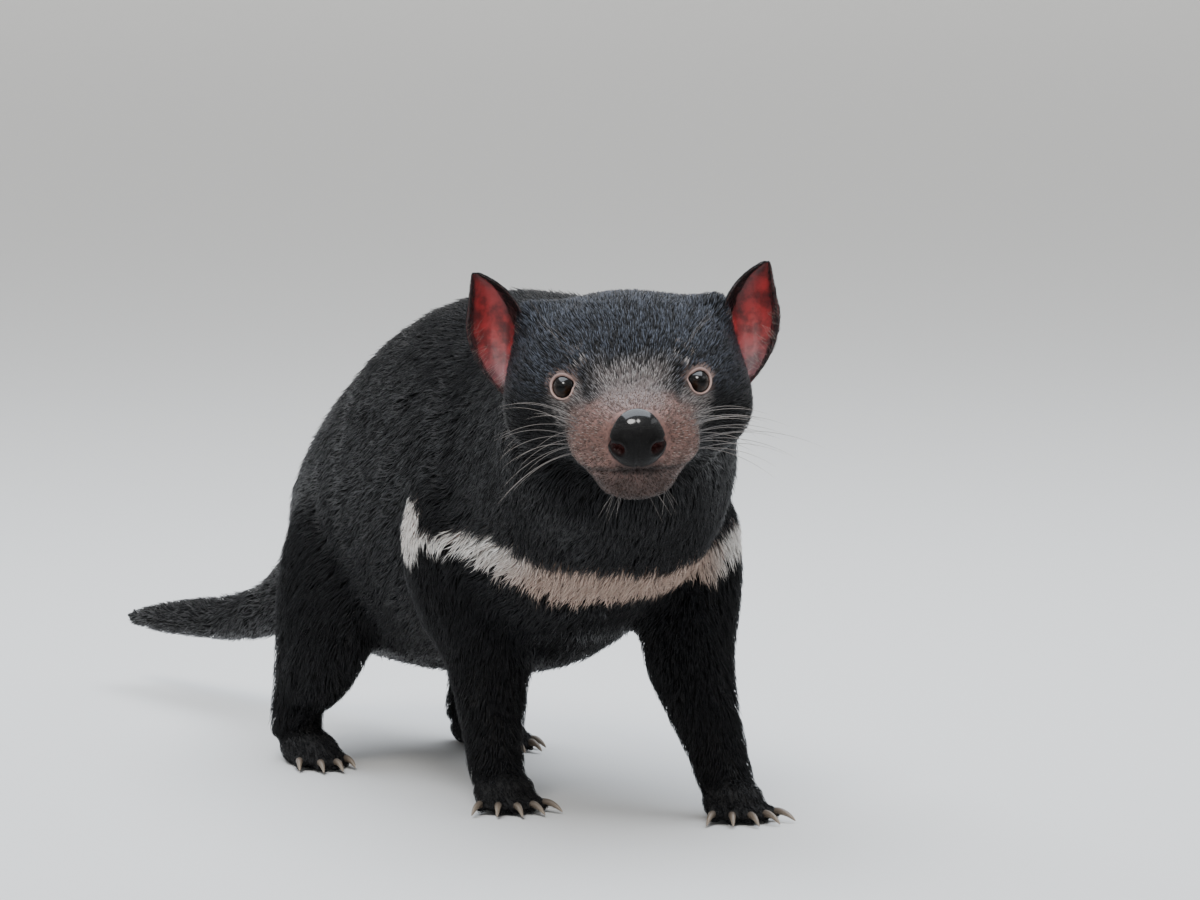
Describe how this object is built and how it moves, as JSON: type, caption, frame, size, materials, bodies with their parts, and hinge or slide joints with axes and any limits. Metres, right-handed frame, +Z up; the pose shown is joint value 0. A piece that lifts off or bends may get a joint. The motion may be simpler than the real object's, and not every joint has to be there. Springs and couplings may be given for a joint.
{
  "type": "tasmanian devil",
  "caption": "Life-size still model of a standing Tasmanian devil: stocky black marsupial with a white chest band, broad head turned to its right and a thick tapering tail.",
  "frame": {"origin": "on the floor, under the middle of the animal's bounding box", "axes": "+Z up; the body points along -Y, so +Y runs back to the tail; +X is the animal's left"},
  "size_m": [0.188, 0.7824, 0.3023],
  "materials": {
    "black_fur": "short glossy black fur with a white chest band",
    "muzzle_skin": "thinly haired pinkish brown skin",
    "nose_skin": "wet black skin",
    "ear_skin": "thin bare red-pink skin inside, short black fur behind",
    "eye": "wet dark brown",
    "paw": "short black fur over grey pads, with pale horn claws"
  },
  "bodies": {
    "root": {"head": "black_fur", "jaw": "muzzle_skin", "nose": "nose_skin", "ear_right": "ear_skin", "ear_left": "ear_skin", "eye_right": "eye", "eye_left": "eye", "neck": "black_fur", "torso": "black_fur", "foreleg_right": "black_fur", "foreleg_left": "black_fur", "forepaw_right": "paw", "forepaw_left": "paw", "hindleg_right": "black_fur", "hindleg_left": "black_fur", "hindpaw_right": "paw", "hindpaw_left": "paw", "tail_base": "black_fur", "tail_tip": "black_fur"}
  },
  "joints": []
}
